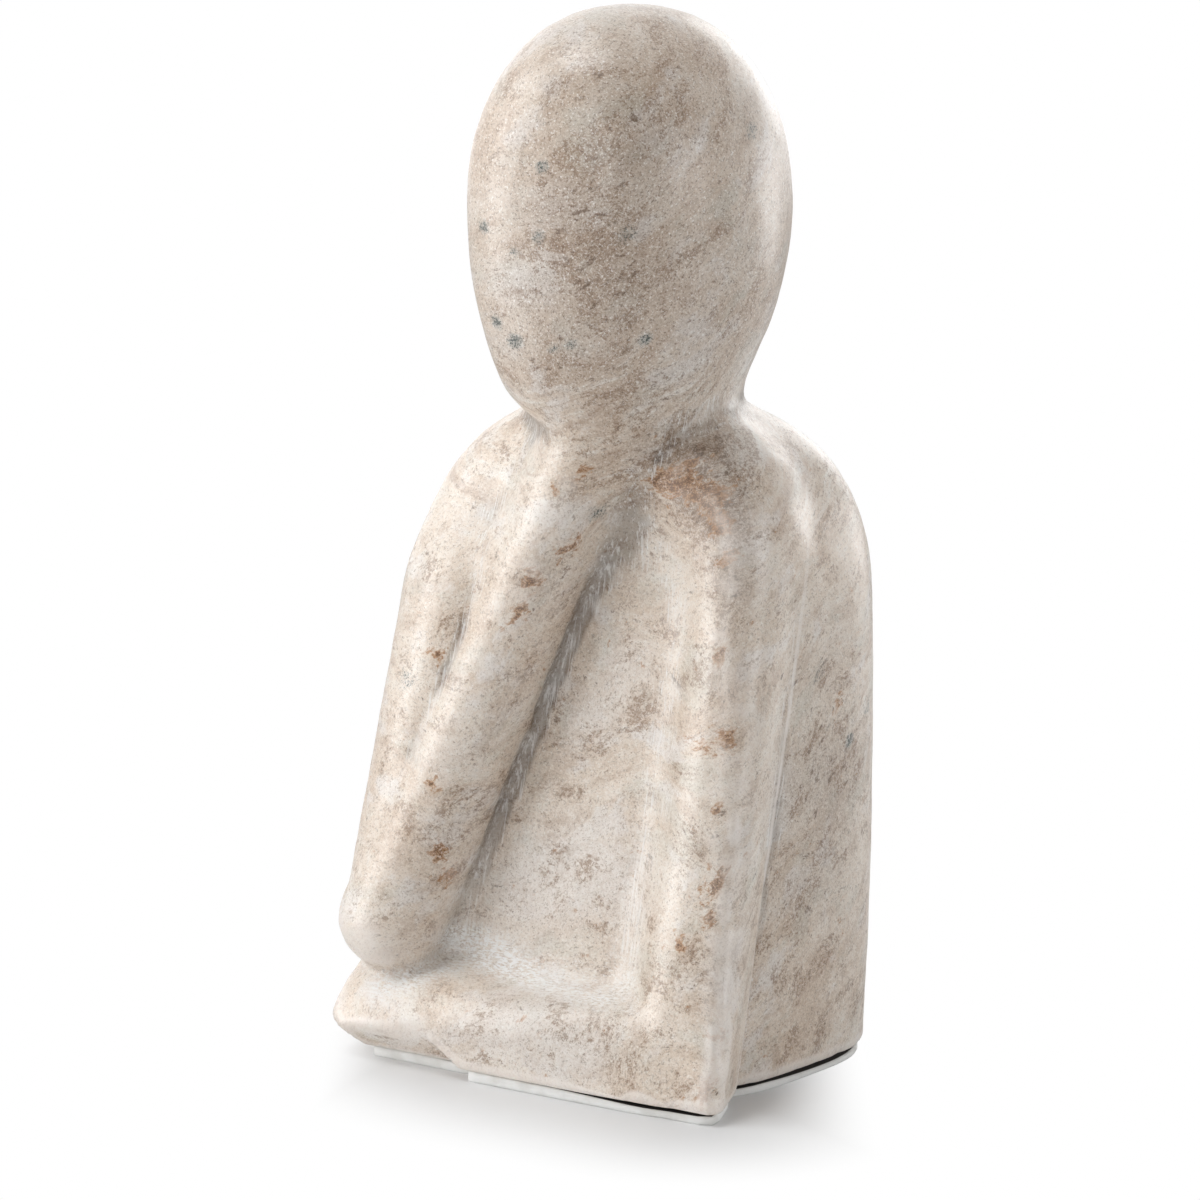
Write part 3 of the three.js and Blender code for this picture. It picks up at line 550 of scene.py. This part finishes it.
def welded(node):
    """A copy of a CAD node's shape whose faces share their corners."""
    shape = bmesh.new()
    shape.from_mesh(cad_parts[node].data)
    bmesh.ops.remove_doubles(shape, verts=shape.verts, dist=WELD)
    return shape


def bake(piece):
    """Carries out the piece's modifiers on its mesh."""
    view = bpy.context.evaluated_depsgraph_get()
    mesh = bpy.data.meshes.new_from_object(piece.evaluated_get(view))
    old = piece.data
    piece.modifiers.clear()
    piece.data = mesh
    bpy.data.meshes.remove(old)


def relaxed(points, edges, passes, shares=(0.5,)):
    """Points moved by each share of the way to the middle of their neighbours, in each pass."""
    counts = np.bincount(edges.ravel(), minlength=len(points))[:, None].clip(1)
    for _ in range(passes):
        for share in shares:
            sums = np.zeros_like(points)
            np.add.at(sums, edges[:, 0], points[edges[:, 1]])
            np.add.at(sums, edges[:, 1], points[edges[:, 0]])
            points = points + share * (sums / counts - points)
    return points


def triples(items, field):
    """One value of three numbers for each of a mesh's items, as an array."""
    values = np.empty(len(items) * 3)
    items.foreach_get(field, values)
    return values.reshape(-1, 3)


def add_values(mesh, name, values):
    """Gives each corner of the mesh a value that its material reads by name."""
    made = mesh.attributes.new(name, "FLOAT", "POINT")
    made.data.foreach_set("value", values.astype(np.float32))


def marked(points, marks):
    """How strongly each point lies in the marks, which are drawn out along the beds."""
    total = np.zeros(len(points))
    for x, y, z, spread, strength in marks:
        offset = points / MM - np.array((x, y, z))
        across = offset @ np.array(BED_NORMAL)
        reach = ((offset**2).sum(1) + MARK_FLATNESS * across**2) / spread**2
        total += strength * np.exp(-reach)
    return total.clip(0, MARK_LIMIT)


def waviness(point):
    """How high the hand-worked unevenness stands at a point, before it is scaled."""
    return sum(share * noise.noise(Vector(point) / length) for length, share in WAVES)


def skinned_stone(material):
    """The carved stone under an even skin, rounded but for its creases."""
    shape = welded("stone_figure")
    bmesh.ops.join_triangles(
        shape, faces=shape.faces, angle_face_threshold=FLAT_ANGLE, angle_shape_threshold=SQUARE_ANGLE
    )
    creases = shape.edges.layers.float.new("crease_edge")
    for edge in shape.edges:
        if len(edge.link_faces) == 2 and edge.calc_face_angle(0) > CREASE_ANGLE:
            edge[creases] = CREASE_HOLD
    piece = add_object("carved_stone", new_mesh("carved_stone", shape), material)
    rounding = piece.modifiers.new("rounding", "SUBSURF")
    rounding.levels = rounding.render_levels = 2
    even = piece.modifiers.new("even", "REMESH")
    even.mode = "VOXEL"
    even.voxel_size = VOXEL
    bake(piece)
    return piece


def stone_piece(material):
    piece = skinned_stone(material)
    mesh = piece.data
    edges = np.empty(len(mesh.edges) * 2, np.int32)
    mesh.edges.foreach_get("vertices", edges)
    edges = edges.reshape(-1, 2)
    points = relaxed(triples(mesh.vertices, "co"), edges, SKIN_PASSES, SKIN_SHARES)
    mesh.vertices.foreach_set("co", points.ravel())
    mesh.update()
    normals = triples(mesh.vertices, "normal")
    # hand-worked unevenness, left off the underside
    waves = np.array([waviness(point) for point in points])
    fade = np.clip((points[:, 2] - UNDERSIDE) / UNDERSIDE_FADE, 0, 1)
    points = points + normals * (WAVE_HEIGHT * waves * fade)[:, None]
    # creases are cut deeper and edges drawn out, as crisp as the tools left them
    smooth = relaxed(points, edges, HOLLOW_PASSES)
    hollow = ((smooth - points) * normals).sum(1) / MM
    crisper = CRISPNESS * MM * (hollow + CRISP_MIDDLE).clip(-CRISP_LIMIT, CRISP_LIMIT)
    points = points - normals * (crisper * fade)[:, None]
    mesh.vertices.foreach_set("co", points.ravel())
    add_values(mesh, "crevice", hollow.clip(-1, 2))
    for name, marks in MARKS:
        add_values(mesh, name + "_marks", marked(points, marks))
    mesh.polygons.foreach_set("use_smooth", [True] * len(mesh.polygons))
    mesh.materials.clear()
    mesh.materials.append(material)
    mesh.update()
    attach(piece, "root")
    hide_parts("stone_figure")


def sagging(x, y):
    """How far the pad's rim hangs off the stone: it clings at the front left and droops at the right."""
    front = FRONT_SAG * math.exp(-((x - FRONT_SAG_X) ** 2) / FRONT_SAG_SPREAD) if y < 0 else 0
    from_rear = (x - REAR_SAG_X) ** 2 + (y - REAR_SAG_Y) ** 2
    return max(front, REAR_SAG * math.exp(-from_rear / REAR_SAG_SPREAD))


def pad_outline():
    """The corners of the CAD pad's underside in millimetres, in their order round it."""
    shape = welded("base_pad")
    corners = [vert.co / MM for vert in shape.verts if vert.co.z < 0.1 * MM]
    shape.free()
    return sorted(corners, key=lambda p: math.atan2(p.y, p.x))


def pad_piece(material):
    """The foam pad with a softly cut rim that meets the stone in one place and leaves a gap in others."""
    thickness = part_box("base_pad")[1].z / MM
    outline = pad_outline()
    shape = bmesh.new()
    number = shape.verts.layers.int.new("number")
    dark_top = shape.verts.layers.float.new("dark_top")
    ring = [shape.verts.new(corner) for corner in outline]
    for i, vert in enumerate(ring):
        vert[number] = i
    shape.faces.new(ring)
    edges = shape.edges[:]
    for turn, (inset, level, follows_rim, shows_dark_top) in enumerate(PAD_RINGS):
        if turn > 0:
            grown = bmesh.ops.extrude_edge_only(shape, edges=edges)["geom"]
            ring = [part for part in grown if isinstance(part, bmesh.types.BMVert)]
            edges = [part for part in grown if isinstance(part, bmesh.types.BMEdge)]
        for vert in ring:
            corner = outline[vert[number]]
            reach = math.hypot(corner.x, corner.y)
            share = (reach - inset) / reach
            rim = RIM_RISE - RIM_DROOP * sagging(corner.x, corner.y)
            z = max(level * thickness + follows_rim * rim, 0)
            vert.co = Vector((corner.x * share, corner.y * share, z)) * MM
            vert[dark_top] = shows_dark_top
    bmesh.ops.edgeloop_fill(shape, edges=edges)
    shape.verts.layers.int.remove(number)
    bmesh.ops.recalc_face_normals(shape, faces=shape.faces)
    for face in shape.faces:
        face.smooth = len(face.verts) == 4
    piece = add_object("foam_pad", new_mesh("foam_pad", shape), material)
    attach(piece, "root")
    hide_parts("base_pad")


def adhesive_layer(material):
    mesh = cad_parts["adhesive_film"].data
    mesh.materials.clear()
    mesh.materials.append(material)


# Setting
def white_to_the_camera(net, output, shader, amount):
    """Mixes in plain white, by the given amount, for what the camera sees."""
    white = net.node("ShaderNodeEmission")
    net.feed(white.inputs["Color"], WHITE)
    net.feed(white.inputs["Strength"], 1.0)
    blend = net.node("ShaderNodeMixShader")
    net.feed(blend.inputs[0], amount)
    net.feed(blend.inputs[1], shader.outputs[0])
    net.feed(blend.inputs[2], white.outputs[0])
    net.feed(output.inputs["Surface"], blend.outputs[0])


def floor():
    """A white floor that keeps the figure's shadow, but only in front of it, as the camera sees it."""
    shape = bmesh.new()
    bmesh.ops.create_circle(shape, cap_ends=True, cap_tris=False, segments=96, radius=3.0)
    made, net, shader, out = new_material("white_floor")
    net.feed(shader.inputs["Base Color"], (0.8, 0.805, 0.81, 1))
    net.feed(shader.inputs["Roughness"], 0.5)
    net.feed(shader.inputs["Specular IOR Level"], 0.3)
    place = net.millimetres()
    beyond = net.vector("SUBTRACT", net.vector("ABSOLUTE", place), SHADOW_CORE)
    gap = net.vector("LENGTH", net.vector("MAXIMUM", beyond, (0, 0, 0)))
    front = net.vector("DOT_PRODUCT", net.vector("NORMALIZE", place), tuple(BACK.xy.normalized().to_3d()))
    width = net.step(front, -0.1, 0.9, SHADOW_BEHIND, SHADOW_IN_FRONT)
    away = net.step(net.math("DIVIDE", gap, width), 0.0, 1.0)
    sideways = net.vector("DOT_PRODUCT", place, tuple(RIGHT))
    away = net.math("MAXIMUM", away, net.step(sideways, *SHADOW_LEFT_END))
    away = net.math("MAXIMUM", away, net.step(sideways, *SHADOW_RIGHT_END))
    seen = net.node("ShaderNodeLightPath").outputs["Is Camera Ray"]
    white_to_the_camera(net, out, shader, net.times(away, seen))
    add_object("floor", new_mesh("floor", shape), made)


def background(net, colour, strength):
    """One of the room's lights, as a shader."""
    made = net.node("ShaderNodeBackground")
    net.feed(made.inputs["Color"], colour)
    net.feed(made.inputs["Strength"], strength)
    return made


def surroundings():
    """A white room, as the camera and the polish see it, but darker on the camera's side."""
    world = bpy.data.worlds.new("white_room")
    bpy.context.scene.world = world
    world.use_nodes = True
    world.node_tree.nodes.clear()
    net = Net(world.node_tree)
    path = net.node("ShaderNodeLightPath")
    facing = net.vector("DOT_PRODUCT", net.node("ShaderNodeTexCoord").outputs["Generated"], tuple(BACK))
    below = background(net, (0.99, 0.995, 1, 1), ROOM_LIGHT)
    reflected = background(net, WHITE, net.step(facing, -0.3, 0.7, 1.4, 0.1))
    white = background(net, WHITE, 1.0)
    out = net.node("ShaderNodeOutputWorld")
    for other, ray in ((reflected, "Is Glossy Ray"), (white, "Is Camera Ray")):
        blend = net.node("ShaderNodeMixShader")
        net.feed(blend.inputs[0], path.outputs[ray])
        net.feed(blend.inputs[1], below.outputs[0])
        net.feed(blend.inputs[2], other.outputs[0])
        below = blend
    net.feed(out.inputs["Surface"], below.outputs[0])


def softbox(name, azimuth, elevation, power):
    lamp = bpy.data.lights.new(name, "AREA")
    lamp.shape = "SQUARE"
    lamp.size = LAMP_WIDTH
    lamp.energy = power
    made = bpy.data.objects.new(name, lamp)
    bpy.context.scene.collection.objects.link(made)
    around, high = math.radians(azimuth), math.radians(elevation)
    level = RIGHT * math.sin(around) + BACK * math.cos(around)
    made.location = LAMP_AIM + level * math.cos(high) + UP * math.sin(high)
    made.rotation_mode = "QUATERNION"
    made.rotation_quaternion = (LAMP_AIM - made.location).to_track_quat("-Z", "Y")


def camera():
    lens = bpy.data.cameras.new("camera")
    lens.lens = LENS
    lens.sensor_width = SENSOR_WIDTH
    lens.clip_start = 0.05
    lens.clip_end = 20
    made = bpy.data.objects.new("camera", lens)
    bpy.context.scene.collection.objects.link(made)
    made.location = CAMERA_TARGET + BACK * CAMERA_DISTANCE
    made.rotation_mode = "QUATERNION"
    made.rotation_quaternion = (-BACK).to_track_quat("-Z", "Y")
    bpy.context.scene.camera = made


stone_piece(marble())
pad_piece(foam())
adhesive_layer(adhesive())
floor()
surroundings()
for lamp_values in LAMPS:
    softbox(*lamp_values)
camera()
bpy.context.scene.view_settings.view_transform = "Standard"
